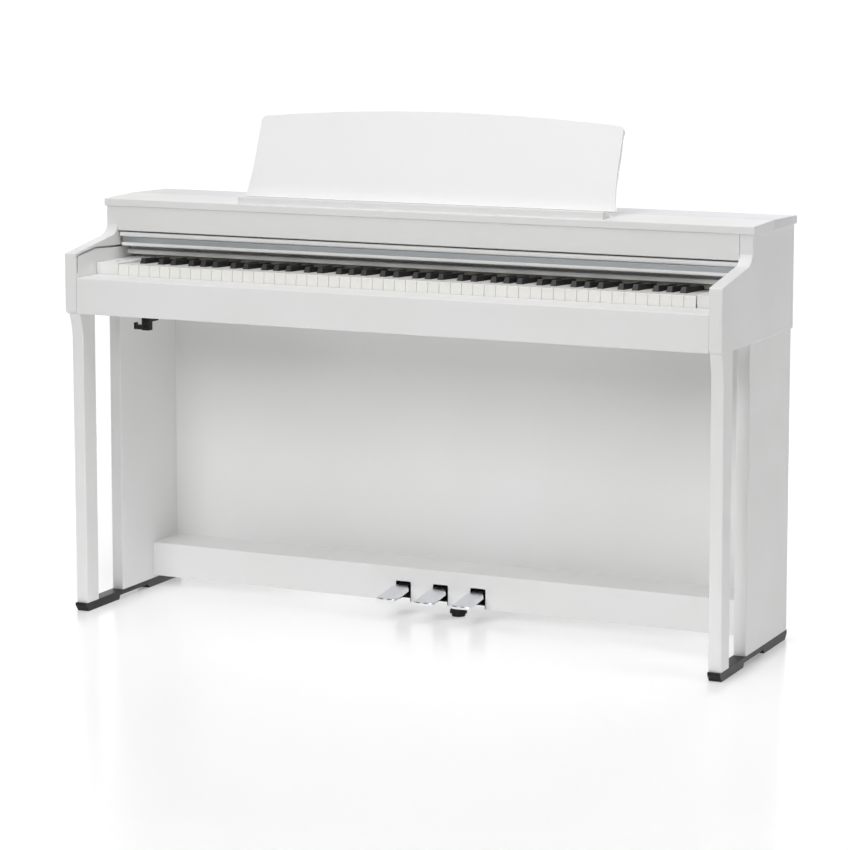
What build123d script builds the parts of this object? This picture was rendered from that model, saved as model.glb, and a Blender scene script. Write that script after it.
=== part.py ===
"""Digital piano on a stand.

Millimetres, +Z up, the player sits at -Y.  X = 0 is the middle of the piano, Z = 0 the floor.
Depths are measured backwards from the front faces of the side arms; FRONT is where that plane is in Y.
"""
import os
from math import atan2, cos, degrees, radians, sin

from build123d import *

# ---------------------------------------------------------------- driving dimensions
FRONT = -205.0              # Y of the arms' front faces
OUTER = 689.0               # half width over the side panels
PANEL = 25.5                # side panel thickness
INNER = OUTER - PANEL       # half width between the side panels
CASE_BOTTOM = 607.3
CASE_TOP = 809.4            # underside of the top boards
CASE_DEPTH = 404.0
GAP = 0.5                   # joint between neighbouring boards of the case

ARM_FRONT_TOP = 728.0       # arm height at its front edge
ARM_BEND = (138.0, 751.0)   # where the arm's top starts to curve up
ARM_UPRIGHT = (164.0, 772.0)

TOP_OVERHANG = 3.4
TOP_FRONT = 160.6
TOP_CREASE = 274.0
TOP_REAR = 410.0
TOP_EDGE = 824.4            # top surface at the front and rear edges
TOP_RISE = 3.0              # how far the crease stands above the edges

SLIP_TOP = 680.0
SLIP_DEPTH = 73.0
BED_TOP = 623.0
BED_UNDER = 608.0
REAR_BOARD = 392.0

KEY_PITCH = 23.5
WHITE_COUNT = 52
KEY_GAP = 0.8
KEY_FRONT = 76.0
KEY_VISIBLE_END = 225.0
KEY_TOP = 702.0             # white key surface at its front edge, at rest
KEY_HEIGHT = 16.0
KEY_LIP = 23.0
BLACK_FRONT = 123.0
BLACK_HEIGHT = 11.5
KEY_REST_TILT = 2.6         # degrees, front edge up
PIVOT_DEPTH = 326.0
PIVOT_RADIUS = 3.0
RUNNING_FIT = 0.05

BLOCK_FRONT = 78.0
BLOCK_TOP = 703.0
BLOCK_REAR = 226.0

COVER_FRONT = 165.0
COVER_REAR = 385.0
COVER_TOP = 757.0
COVER_THICKNESS = 9.0
COVER_HALF = 660.0
COVER_AXIS = (375.0, 742.0)

REST_LEAN = 21.5
REST_PIVOT = (224.0, 829.9)
REST_THICKNESS = 8.0
REST_HINGES = (-250.0, 250.0)
KNUCKLE = 3.0

STAND_OUTER = 686.5
STAND_BOARD = 25.2
STAND_INNER = STAND_OUTER - STAND_BOARD
SHOE_TOP = 17.6
SIDE_BOARD_FRONT = 162.6
SIDE_BOARD_REAR = 401.5
BACK_FRONT = 388.0
BACK_THICKNESS = 12.0

BOX_FRONT = 287.0
BOX_BOTTOM = 23.6
BOX_TOP = 93.1
BOX_BOARD = 15.0
PEDAL_PITCH = 82.0
NOTCH_WIDTH = 33.0
NOTCH_TOP = 64.5
PEDAL_SLOPE = 7.0
PEDAL_PIVOT = (350.0, 61.0)
PEDAL_THICKNESS = 8.0
ADJUSTER_X = 30.0
ADJUSTER_DEPTH = 309.0


# ---------------------------------------------------------------- shared helpers
def point(depth, height):
    """A (Y, Z) point on Plane.YZ from a depth behind the arms and a height over the floor."""
    return (FRONT + depth, height)


def run(points, x_from, x_to, mode=Mode.ADD):
    """Extrude a closed outline of (depth, height) points across the piano from x_from to x_to."""
    with BuildSketch(Plane.YZ.offset(x_from)) as profile:
        with BuildLine():
            Polyline(*[point(d, z) for d, z in points], close=True)
        make_face()
    extrude(profile.sketch, amount=x_to - x_from, mode=mode)


def block(x_from, x_to, depth_from, depth_to, z_from, z_to, mode=Mode.ADD):
    """An upright box between two X, two depth and two Z values."""
    with BuildSketch(Plane.XY.offset(z_from)) as base:
        with Locations(((x_from + x_to) / 2, FRONT + (depth_from + depth_to) / 2)):
            Rectangle(x_to - x_from, depth_to - depth_from)
    extrude(base.sketch, amount=z_to - z_from, mode=mode)


def rod(x_from, x_to, depth, height, radius, mode=Mode.ADD):
    """A round bar or a round hole along X."""
    with BuildSketch(Plane.YZ.offset(x_from)) as section:
        with Locations(point(depth, height)):
            Circle(radius)
    extrude(section.sketch, amount=x_to - x_from, mode=mode)


def round_over(builder, radius, chosen):
    """Round the edges along X whose depth and height the chosen test accepts."""
    edges = builder.edges().filter_by(Axis.X)
    fillet(edges.filter_by(lambda edge: chosen(edge.center().Y - FRONT, edge.center().Z)), radius=radius)


def ease_ends(builder, radius, chosen):
    """Round the edges of a board's side faces whose place across, depth and height the chosen test accepts."""
    edges = builder.edges().filter_by(lambda edge: edge.bounding_box().size.X < 0.01)
    fillet(edges.filter_by(lambda edge: chosen(edge.center().X, edge.center().Y - FRONT, edge.center().Z)),
           radius=radius)


def top_surface(depth):
    """Height of the two-part top at a depth: rising to the crease, then falling to the rear."""
    if depth <= TOP_CREASE:
        return TOP_EDGE + TOP_RISE * (depth - TOP_FRONT) / (TOP_CREASE - TOP_FRONT)
    return TOP_EDGE + TOP_RISE * (TOP_REAR - depth) / (TOP_REAR - TOP_CREASE)


def save(part, label):
    part.label = label
    export_step(part, f"parts/{label}.step")


os.makedirs("parts", exist_ok=True)

# ---------------------------------------------------------------- case
GROOVE_TOP = [(14.0, 726.6), (78.0, 735.0), (164.0, 730.5), (200.0, 730.5)]
GROOVE_WIDTH = 4.0
GROOVE_OUTLINE = ([(4.0, 690.0), (4.0, 721.8)] + GROOVE_TOP + [(d, z - GROOVE_WIDTH) for d, z in reversed(GROOVE_TOP)]
                  + [(8.0, 719.0), (8.0, 690.0)])
ARRIS = 2.0                    # rounding of the lacquered boards' long edges
GROOVE_DEPTH = 14.0


def left_panel():
    """Upper side of the case: a deep panel with a low arm in front, grooved for the key cover."""
    with BuildPart() as panel:
        with BuildSketch(Plane.YZ.offset(-OUTER)):
            with BuildLine():
                Polyline(point(*ARM_UPRIGHT), point(ARM_UPRIGHT[0], CASE_TOP), point(CASE_DEPTH, CASE_TOP),
                         point(CASE_DEPTH, CASE_BOTTOM), point(0, CASE_BOTTOM), point(0, ARM_FRONT_TOP),
                         point(*ARM_BEND))
                slope = Vector(ARM_BEND[0], ARM_BEND[1] - ARM_FRONT_TOP)
                TangentArc(point(*ARM_BEND), point(*ARM_UPRIGHT), tangent=(slope.X, slope.Y))
            make_face()
        extrude(amount=PANEL)
        round_over(panel, 10.0, lambda d, z: d < 1 and z < CASE_BOTTOM + 1)
        round_over(panel, 2.5, lambda d, z: d < 1 and z > ARM_FRONT_TOP - 1)
        run(GROOVE_OUTLINE, -INNER - GROOVE_DEPTH, -INNER, Mode.SUBTRACT)
        ease_ends(panel, ARRIS, lambda x, d, z: x < -OUTER + 1 and d < ARM_UPRIGHT[0] + 1 and z > CASE_BOTTOM + 1)
    return panel.part


save(left_panel(), "left_side_panel")
save(mirror(left_panel(), about=Plane.YZ), "right_side_panel")

with BuildPart() as top_board_front:
    run([(TOP_FRONT, CASE_TOP), (TOP_FRONT, TOP_EDGE), (TOP_CREASE, TOP_EDGE + TOP_RISE), (TOP_CREASE, CASE_TOP)],
        -OUTER - TOP_OVERHANG, OUTER + TOP_OVERHANG)
    round_over(top_board_front, 1.5, lambda d, z: d < TOP_FRONT + 1)
save(top_board_front.part, "top_board_front")

with BuildPart() as top_board_rear:
    run([(TOP_CREASE, CASE_TOP), (TOP_CREASE, TOP_EDGE + TOP_RISE), (TOP_REAR, TOP_EDGE), (TOP_REAR, CASE_TOP)],
        -OUTER - TOP_OVERHANG, OUTER + TOP_OVERHANG)
    round_over(top_board_rear, 1.5, lambda d, z: d > TOP_REAR - 1)
save(top_board_rear.part, "top_board_rear")

PANEL_BOTTOM = 760.0
PANEL_FRONT = 163.0
PANEL_GAP = 0.5                # fine joint at each end of the upper panel
with BuildPart() as upper_front_panel:
    block(-INNER + PANEL_GAP, INNER - PANEL_GAP, PANEL_FRONT, PANEL_FRONT + 12.0, PANEL_BOTTOM, CASE_TOP)
    round_over(upper_front_panel, 2.0, lambda d, z: d < PANEL_FRONT + 1 and z < PANEL_BOTTOM + 1)
save(upper_front_panel.part, "upper_front_panel")

SLIP_BOARD = 16.0
SLIP_SHELF = 14.0              # thickness of the slip's flat top behind its front board
with BuildPart() as key_slip:
    run([(1.0, BED_UNDER), (1.0, SLIP_TOP), (SLIP_DEPTH, SLIP_TOP), (SLIP_DEPTH, SLIP_TOP - SLIP_SHELF),
         (SLIP_BOARD, SLIP_TOP - SLIP_SHELF), (SLIP_BOARD, BED_UNDER)], -INNER + GAP, INNER - GAP)
    round_over(key_slip, 3.0, lambda d, z: d < 2)
save(key_slip.part, "key_slip")

SPEAKER_X = 430.0
SPEAKER_DEPTH = 220.0
SPEAKER_SIZE = (130.0, 84.0)
SPEAKER_LAP = 6.0              # how far a speaker's flange lies on the key bed


def speaker_places():
    return Locations((-SPEAKER_X, FRONT + SPEAKER_DEPTH), (SPEAKER_X, FRONT + SPEAKER_DEPTH))


with BuildPart() as key_bed:
    block(-INNER + GAP, INNER - GAP, SLIP_BOARD, REAR_BOARD, BED_UNDER, BED_TOP)
    with BuildSketch(Plane.XY.offset(BED_UNDER)):
        with speaker_places():
            Ellipse(SPEAKER_SIZE[0] / 2 - SPEAKER_LAP, SPEAKER_SIZE[1] / 2 - SPEAKER_LAP)
    extrude(amount=BED_TOP - BED_UNDER, mode=Mode.SUBTRACT)
save(key_bed.part, "key_bed")

REAR_SCREWS = [(x, 700.0) for x in (-640, -320, 320, 640)]
BACK_SCREWS = [(x, z) for x in (-645, 645) for z in (60, 240, 420, 590)]
SCREW_SHANK = 2.2
SCREW_LENGTH = 10.0


def screw_holes(places, depth):
    """Blind pilot holes in a rear-facing board."""
    with BuildSketch(Plane.XZ.offset(-(FRONT + depth))) as holes:
        with Locations(*places):
            Circle(SCREW_SHANK)
    extrude(holes.sketch, amount=SCREW_LENGTH, mode=Mode.SUBTRACT)


with BuildPart() as rear_board:
    block(-INNER + GAP, INNER - GAP, REAR_BOARD, CASE_DEPTH, BED_UNDER, CASE_TOP)
    screw_holes(REAR_SCREWS, CASE_DEPTH)
save(rear_board.part, "rear_board")

RAIL_FRONT = 200.0
RAIL_STEP = 214.0
RAIL_DEPTHS = (222.0, 252.0)             # rear faces of the nose and of the shelf
RAIL_FOOT = 709.5
RAIL_LEVELS = (718.5, 721.0, 727.5)      # nose top, shelf underside and shelf top
with BuildPart() as fallboard_rail:
    run([(RAIL_FRONT, RAIL_FOOT), (RAIL_FRONT, RAIL_LEVELS[0]), (RAIL_STEP, RAIL_LEVELS[0]),
         (RAIL_STEP, RAIL_LEVELS[2]), (RAIL_DEPTHS[1], RAIL_LEVELS[2]), (RAIL_DEPTHS[1], RAIL_LEVELS[1]),
         (RAIL_DEPTHS[0], RAIL_LEVELS[1]), (RAIL_DEPTHS[0], RAIL_FOOT)], -INNER + GAP, INNER - GAP)
    round_over(fallboard_rail, 1.5, lambda d, z: d < RAIL_FRONT + 1)
save(fallboard_rail.part, "fallboard_rail")

SHEET = 2.0                              # thickness of folded steel
STOP_DEPTH = 236.0
STOP_REAR = 250.0
STOP_FOOT = 698.0
with BuildPart() as key_stop_rail:
    run([(STOP_DEPTH, STOP_FOOT), (STOP_DEPTH, RAIL_LEVELS[1]), (STOP_REAR, RAIL_LEVELS[1]),
         (STOP_REAR, RAIL_LEVELS[1] - SHEET), (STOP_DEPTH + SHEET, RAIL_LEVELS[1] - SHEET),
         (STOP_DEPTH + SHEET, STOP_FOOT)], -INNER + 2 * GAP, INNER - 2 * GAP)
save(key_stop_rail.part, "key_stop_rail")

with BuildPart() as key_rear_felt:
    block(-INNER + 2 * GAP, INNER - 2 * GAP, STOP_DEPTH - 9.0, STOP_DEPTH, STOP_FOOT - 1.0, STOP_FOOT + 7.5)
save(key_rear_felt.part, "key_rear_felt")

# ---------------------------------------------------------------- end blocks and their controls
KEYS_HALF = KEY_PITCH * WHITE_COUNT / 2
BLOCK_INNER = KEYS_HALF + 1.5
BLOCK_OUTER = INNER - GAP
BLOCK_MIDDLE = (BLOCK_INNER + BLOCK_OUTER) / 2
BUTTON_RADIUS = 5.0
BUTTON_PLACE = 120.0
BUTTON_TRAVEL = 1.5
SLIDER_PLACE = 170.0
SLIDER_TRAVEL = 15.0
POCKET = 0.3


def end_block(side, buttons, sliders):
    """Solid block beside the keys: round pockets for buttons and long ones for sliders, at their depths."""
    low, high = sorted((side * BLOCK_INNER, side * BLOCK_OUTER))
    with BuildPart() as cheek:
        block(low, high, BLOCK_FRONT, BLOCK_REAR, BED_TOP + 3.0, BLOCK_TOP)
        round_over(cheek, 1.0, lambda d, z: z > BLOCK_TOP - 1)
        with BuildSketch(Plane.XY.offset(BLOCK_TOP)):
            with Locations(*[(side * BLOCK_MIDDLE, FRONT + depth) for depth in buttons]):
                Circle(BUTTON_RADIUS + POCKET)
            with Locations(*[(side * BLOCK_MIDDLE, FRONT + depth) for depth in sliders]):
                Rectangle(6.0, 2 * SLIDER_TRAVEL + 12.0)
        extrude(amount=-10.0, mode=Mode.SUBTRACT)
    return cheek.part


save(end_block(-1, [BUTTON_PLACE], [SLIDER_PLACE]), "left_end_block")
save(end_block(1, [BUTTON_PLACE], []), "right_end_block")


def push_button(side):
    with BuildPart() as button:
        with BuildSketch(Plane.XY.offset(BLOCK_TOP - 8.0)):
            with Locations((side * BLOCK_MIDDLE, FRONT + BUTTON_PLACE)):
                Circle(BUTTON_RADIUS)
        extrude(amount=9.0)
        fillet(button.edges().group_by(Axis.Z)[-1], radius=0.6)
    return button.part


save(push_button(1), "power_button")
save(push_button(-1), "function_button")

with BuildPart() as volume_slider:
    block(-BLOCK_MIDDLE - 2.5, -BLOCK_MIDDLE + 2.5, SLIDER_PLACE - 5.5, SLIDER_PLACE + 5.5, BLOCK_TOP - 9.0,
          BLOCK_TOP + 2.0)
    fillet(volume_slider.edges().group_by(Axis.Z)[-1], radius=0.8)
save(volume_slider.part, "volume_slider")

# ---------------------------------------------------------------- keys
# The key plane is the white keys' top surface; its local Y runs back along the keys from the pivot rod.
KEY_LENGTH = (PIVOT_DEPTH - KEY_FRONT) / cos(radians(KEY_REST_TILT))
PIVOT_BELOW = 9.0
PIVOT_HEIGHT = KEY_TOP - KEY_LENGTH * sin(radians(KEY_REST_TILT)) - PIVOT_BELOW
KEY_TAIL = 12.0
BLACK_BASE = 12.5
BLACK_CREST = 9.0
BLACK_CLEAR = 1.2
BLACK_SLANT = 6.0
BLACK_FALL = 4.6            # how much lower a black key's crest is at its rear end
NOTE_NAMES = ("c", "c_sharp", "d", "d_sharp", "e", "f", "f_sharp", "g", "g_sharp", "a", "a_sharp", "b")
WHITE_NOTES = ("a", "b", "c", "d", "e", "f", "g")
BLACK_SHIFT = {"c_sharp": -2.5, "d_sharp": 2.5, "f_sharp": -3.5, "g_sharp": 0.0, "a_sharp": 3.5}
SHARP_OF = {"c": "c_sharp", "d": "d_sharp", "f": "f_sharp", "g": "g_sharp", "a": "a_sharp"}


def key_plane(below=0.0):
    tilt = radians(KEY_REST_TILT)
    origin = Vector(0, FRONT + PIVOT_DEPTH, PIVOT_HEIGHT) + Vector(0, sin(tilt), cos(tilt)) * (PIVOT_BELOW - below)
    return Plane(origin=origin, x_dir=(1, 0, 0), z_dir=(0, sin(tilt), cos(tilt)))


def along_key(depth):
    """Local Y on the key plane of a depth in the piano."""
    return (depth - PIVOT_DEPTH) / cos(radians(KEY_REST_TILT))


def boundary(index):
    """X of the joint on the left of white key number index."""
    return -KEYS_HALF + KEY_PITCH * index


def white_note(index):
    return WHITE_NOTES[index % 7]


def black_centre(index):
    """X of the black key to the right of white key index, or None where there is none."""
    sharp = SHARP_OF.get(white_note(index))
    if sharp is None or index >= WHITE_COUNT - 1:
        return None
    return boundary(index + 1) + BLACK_SHIFT[sharp]


def white_outline(index):
    """Closed outline of a white key in the key plane: full width in front, cut back beside black keys."""
    left = boundary(index) + KEY_GAP / 2
    right = boundary(index + 1) - KEY_GAP / 2
    cut = BLACK_BASE / 2 + BLACK_CLEAR
    tail_left, tail_right = left, right
    if index > 0 and black_centre(index - 1) is not None:
        tail_left = black_centre(index - 1) + cut
    if black_centre(index) is not None:
        tail_right = black_centre(index) - cut
    front, shoulder, rear = along_key(KEY_FRONT), along_key(BLACK_FRONT - 2.0), KEY_TAIL
    outline = [(left, front), (right, front)]
    if tail_right != right:
        outline += [(right, shoulder), (tail_right, shoulder)]
    outline += [(tail_right, rear), (tail_left, rear)]
    if tail_left != left:
        outline += [(tail_left, shoulder), (left, shoulder)]
    return outline


def white_keys(note):
    """All white keys of one note name, one solid each, bored for the pivot rod."""
    indexes = [i for i in range(WHITE_COUNT) if white_note(i) == note]
    with BuildPart() as keys:
        with BuildSketch(key_plane()):
            for index in indexes:
                with BuildLine():
                    Polyline(*white_outline(index), close=True)
                make_face()
        extrude(amount=-KEY_HEIGHT)
        with BuildSketch(key_plane(KEY_HEIGHT)):
            for index in indexes:
                with Locations((boundary(index) + KEY_PITCH / 2, along_key(KEY_FRONT) + 2.5)):
                    Rectangle(KEY_PITCH - KEY_GAP, 5.0)
        extrude(amount=KEY_HEIGHT - KEY_LIP)
        fillet(keys.faces().filter_by(lambda f: f.center().Y < FRONT + KEY_FRONT + 1).edges()
               .filter_by(lambda e: e.center().Z > KEY_TOP - 1.0), radius=1.5)
        rod(-OUTER, OUTER, PIVOT_DEPTH, PIVOT_HEIGHT, PIVOT_RADIUS + RUNNING_FIT, Mode.SUBTRACT)
    return keys.part


def black_keys(note):
    """All black keys of one note name: a low body between the white keys and a tapered crest on it."""
    indexes = [i for i in range(WHITE_COUNT) if black_centre(i) is not None and SHARP_OF[white_note(i)] == note]
    front = along_key(BLACK_FRONT)
    crest_end = along_key(KEY_VISIBLE_END)
    with BuildPart() as keys:
        with BuildSketch(key_plane(2.0)):
            with Locations(*[(black_centre(i), (front + KEY_TAIL) / 2) for i in indexes]):
                Rectangle(BLACK_BASE, KEY_TAIL - front)
        extrude(amount=-(KEY_HEIGHT - 2.0))
        rod(-OUTER, OUTER, PIVOT_DEPTH, PIVOT_HEIGHT, PIVOT_RADIUS + RUNNING_FIT, Mode.SUBTRACT)
        crest_plane = key_plane(0.0)
        fall = degrees(atan2(BLACK_FALL, crest_end - front))
        top_plane = Plane(origin=crest_plane.from_local_coords((0, front, BLACK_HEIGHT)), x_dir=(1, 0, 0),
                          z_dir=crest_plane.z_dir.rotate(Axis.X, -fall))
        for index in indexes:
            middle = black_centre(index)
            with BuildSketch(key_plane(2.0)):
                with Locations((middle, (front + crest_end) / 2)):
                    Rectangle(BLACK_BASE, crest_end - front)
            with BuildSketch(top_plane):
                with Locations((middle, (BLACK_SLANT + crest_end - front) / 2)):
                    Rectangle(BLACK_CREST, crest_end - front - BLACK_SLANT)
            loft()
    return keys.part


for note_name in NOTE_NAMES:
    maker = black_keys if note_name.endswith("sharp") else white_keys
    save(maker(note_name), f"keys_{note_name}")

# ---------------------------------------------------------------- key frame and electronics
FRAME_HALF = 655.0
FRAME_TOP = BED_TOP + 2.5
REAR_RAIL = (300.0, 340.0)     # front and rear of the frame's plates
FRONT_RAIL = (88.0, 128.0)
CHANNEL = (98.0, 112.0)        # folded channel the key fronts stop on
CHANNEL_TOP = 662.0
UPRIGHT_X = KEYS_HALF + 3.0
CONTACT_BOARD = 656.0
with BuildPart() as key_frame:
    block(-FRAME_HALF, FRAME_HALF, *REAR_RAIL, BED_TOP, FRAME_TOP)
    block(-KEYS_HALF, KEYS_HALF, *FRONT_RAIL, BED_TOP, FRAME_TOP)
    run([(CHANNEL[0], FRAME_TOP), (CHANNEL[0], CHANNEL_TOP), (CHANNEL[1], CHANNEL_TOP), (CHANNEL[1], FRAME_TOP),
         (CHANNEL[1] - SHEET, FRAME_TOP), (CHANNEL[1] - SHEET, CHANNEL_TOP - SHEET),
         (CHANNEL[0] + SHEET, CHANNEL_TOP - SHEET), (CHANNEL[0] + SHEET, FRAME_TOP)], -KEYS_HALF, KEYS_HALF)
    for x_side in (-1, 1):
        low, high = sorted((x_side * UPRIGHT_X, x_side * (UPRIGHT_X + 4.0)))
        block(low, high, PIVOT_DEPTH - 12.0, PIVOT_DEPTH + 12.0, FRAME_TOP, PIVOT_HEIGHT + 8.0)
        low, high = sorted((x_side * (KEYS_HALF - 60.0), x_side * (KEYS_HALF - 20.0)))
        block(low, high, FRONT_RAIL[1], REAR_RAIL[0], BED_TOP, FRAME_TOP)
        block(low + 16.0, high - 16.0, 286.0, 294.0, FRAME_TOP, CONTACT_BOARD)
    rod(-OUTER, OUTER, PIVOT_DEPTH, PIVOT_HEIGHT, PIVOT_RADIUS, Mode.SUBTRACT)
save(key_frame.part, "key_frame")

with BuildPart() as key_pivot_rod:
    rod(-UPRIGHT_X - 6.0, UPRIGHT_X + 6.0, PIVOT_DEPTH, PIVOT_HEIGHT, PIVOT_RADIUS)
save(key_pivot_rod.part, "key_pivot_rod")

BOARD_THICKNESS = 1.6
BOARD_FACE = REAR_BOARD - BOARD_THICKNESS
with BuildPart() as circuit_boards:
    block(-600.0, -340.0, BOARD_FACE, REAR_BOARD, 640.0, 715.0)
    block(-590.0, -560.0, BOARD_FACE - 12, BOARD_FACE, 650.0, 662.0)
    block(-520.0, -480.0, BOARD_FACE - 6, BOARD_FACE, 660.0, 700.0)
    block(-440.0, -380.0, BOARD_FACE - 10, BOARD_FACE, 665.0, 680.0)
    block(-KEYS_HALF + 4, KEYS_HALF - 4, 282.0, 298.0, CONTACT_BOARD, CONTACT_BOARD + BOARD_THICKNESS)
save(circuit_boards.part, "circuit_boards")

FLANGE = 3.0                   # heights of a speaker's flange, basket and magnet
CONE = 12.0
MAGNET = 15.0
MAGNET_RADIUS = 24.0
with BuildPart() as speakers:
    with BuildSketch(Plane.XY.offset(BED_TOP)):
        with speaker_places():
            Ellipse(SPEAKER_SIZE[0] / 2, SPEAKER_SIZE[1] / 2)
            Ellipse(SPEAKER_SIZE[0] / 2 - 12, SPEAKER_SIZE[1] / 2 - 12, mode=Mode.SUBTRACT)
    extrude(amount=FLANGE)
    with BuildSketch(Plane.XY.offset(BED_TOP + FLANGE)):
        with speaker_places():
            Ellipse(SPEAKER_SIZE[0] / 2 - 8, SPEAKER_SIZE[1] / 2 - 8)
    extrude(amount=CONE, taper=30)
    with BuildSketch(Plane.XY.offset(BED_TOP + FLANGE + CONE)):
        with speaker_places():
            Circle(MAGNET_RADIUS)
    extrude(amount=MAGNET)
save(speakers.part, "speakers")

# ---------------------------------------------------------------- key cover
COVER_UNDER = COVER_TOP - COVER_THICKNESS
STRIP_HALF = 658.0
STRIP_BOTTOM = 728.5
BAR_RADIUS = 4.5
ROLLER_RADIUS = 5.0
ROLLER_HALF = (648.0, 656.0)
LUG_PLACES = (-600.0, -200.0, 200.0, 600.0)

with BuildPart() as key_cover:
    block(-COVER_HALF, COVER_HALF, COVER_FRONT, COVER_REAR, COVER_UNDER, COVER_TOP)
    round_over(key_cover, 3.0, lambda d, z: d < COVER_FRONT + 1)
    for x in LUG_PLACES:
        block(x - 10.0, x + 10.0, COVER_AXIS[0] - 8, COVER_AXIS[0] + 8, COVER_AXIS[1] - 2, COVER_UNDER)
        rod(x - 10.0, x + 10.0, *COVER_AXIS, 8.0)
    block(-COVER_HALF, COVER_HALF, COVER_AXIS[0] - 9, COVER_REAR + 1, COVER_TOP, COVER_TOP + 5, Mode.SUBTRACT)
    rod(-COVER_HALF, COVER_HALF, *COVER_AXIS, BAR_RADIUS + RUNNING_FIT, Mode.SUBTRACT)
save(key_cover.part, "key_cover")

with BuildPart() as cover_face_strip:
    run([(173.0, COVER_UNDER), (172.0, COVER_UNDER - 2), (174.5, STRIP_BOTTOM + 1), (176.0, STRIP_BOTTOM),
         (179.0, STRIP_BOTTOM), (180.0, COVER_UNDER)], -STRIP_HALF, STRIP_HALF)
save(cover_face_strip.part, "cover_face_strip")

with BuildPart() as cover_carriage:
    rod(-ROLLER_HALF[0], ROLLER_HALF[0], *COVER_AXIS, BAR_RADIUS)
    rod(-ROLLER_HALF[1], -ROLLER_HALF[0], *COVER_AXIS, ROLLER_RADIUS)
    rod(ROLLER_HALF[0], ROLLER_HALF[1], *COVER_AXIS, ROLLER_RADIUS)
save(cover_carriage.part, "cover_carriage")

GUIDE_TOP = COVER_AXIS[1] - ROLLER_RADIUS - 0.1
with BuildPart() as cover_guides:
    for x_side in (-1, 1):
        low, high = sorted((x_side * 645.0, x_side * (INNER - GAP)))
        block(low, high, 206.0, 391.0, GUIDE_TOP - 3.0, GUIDE_TOP)
        low, high = sorted((x_side * (INNER - GAP - 2.0), x_side * (INNER - GAP)))
        block(low, high, 206.0, 391.0, GUIDE_TOP, GUIDE_TOP + 9.0)
save(cover_guides.part, "cover_guides")

# ---------------------------------------------------------------- music rest
REST_HALF = 390.0
REST_FLARE = 396.5
REST_SHOULDER = 171.0
REST_CROWN = 189.5
REST_CORNER = 12.0
REST_OFFSET = KNUCKLE + 0.1
LEDGE_FRONT = 170.0
LEDGE_REAR = 204.0
LEDGE_RISE = 14.0
LEAF_LENGTH = 26.0


def rest_plane(forward):
    """Plane of the leaning panel: origin on the hinge axis, local Y up the slope, normal to the front."""
    lean = radians(REST_LEAN)
    normal = Vector(0, -cos(lean), sin(lean))
    return Plane(origin=Vector(0, *point(*REST_PIVOT)) + normal * forward, x_dir=(1, 0, 0), z_dir=normal)


with BuildPart() as music_rest:
    with BuildSketch(rest_plane(REST_OFFSET)):
        with BuildLine():
            Polyline((-REST_HALF, 90.0), (-REST_HALF, REST_SHOULDER))
            ThreePointArc((-REST_HALF, REST_SHOULDER), (0, REST_CROWN), (REST_HALF, REST_SHOULDER))
            Polyline((REST_HALF, REST_SHOULDER), (REST_HALF, 90.0))
            ThreePointArc((REST_HALF, 90.0), (REST_HALF + 1.6, 45.0), (REST_FLARE, 2.0))
            Polyline((REST_FLARE, 2.0), (-REST_FLARE, 2.0))
            ThreePointArc((-REST_FLARE, 2.0), (-REST_HALF - 1.6, 45.0), (-REST_HALF, 90.0))
        make_face()
    extrude(amount=REST_THICKNESS)
    across = music_rest.edges().filter_by(lambda edge: abs(edge.length - REST_THICKNESS) < 0.01)
    fillet(across.filter_by(lambda edge: edge.center().Z > REST_PIVOT[1] + 130), radius=REST_CORNER)
save(music_rest.part, "music_rest")

with BuildPart() as music_rest_ledge:
    run([(LEDGE_FRONT, top_surface(LEDGE_FRONT)), (LEDGE_FRONT, top_surface(LEDGE_FRONT) + LEDGE_RISE),
         (LEDGE_FRONT + 6.0, top_surface(LEDGE_FRONT) + LEDGE_RISE), (LEDGE_REAR, top_surface(LEDGE_REAR) + 3.0),
         (LEDGE_REAR, top_surface(LEDGE_REAR))], -REST_HALF, REST_HALF)
    round_over(music_rest_ledge, 1.5, lambda d, z: d < LEDGE_FRONT + 1 and z > top_surface(LEDGE_FRONT) + 5)
save(music_rest_ledge.part, "music_rest_ledge")

PIN = 1.5
with BuildPart() as music_rest_hinge_bases:
    for x in REST_HINGES:
        for low in (x - 22.0, x + 8.1):
            rod(low, low + 13.9, *REST_PIVOT, KNUCKLE)
            run([(226.0, top_surface(226.0)), (226.0, REST_PIVOT[1] - 1.0), (250.0, top_surface(250.0) + 1.6),
                 (250.0, top_surface(250.0))], low, low + 13.9)
        rod(x - 8.1, x + 8.1, *REST_PIVOT, PIN)
        run([(236.0, top_surface(236.0)), (236.0, top_surface(236.0) + 1.6), (250.0, top_surface(250.0) + 1.6),
             (250.0, top_surface(250.0))], x - 22.0, x + 22.0)
save(music_rest_hinge_bases.part, "music_rest_hinge_bases")

with BuildPart() as music_rest_hinge_leaves:
    for x in REST_HINGES:
        rod(x - 8.0, x + 8.0, *REST_PIVOT, KNUCKLE)
        with BuildSketch(rest_plane(REST_OFFSET)):
            with Locations((x, LEAF_LENGTH / 2)):
                Rectangle(16.0, LEAF_LENGTH)
        extrude(amount=-1.6)
    rod(-OUTER, OUTER, *REST_PIVOT, PIN + RUNNING_FIT, Mode.SUBTRACT)
save(music_rest_hinge_leaves.part, "music_rest_hinge_leaves")

# ---------------------------------------------------------------- stand
LEG_TOP_SETBACK = 9.0
LEG_COVE = ((15.8, 586.0), (20.2, 556.0))
LEG_FOOT = 23.5
LEG_REAR = 67.2


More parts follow.
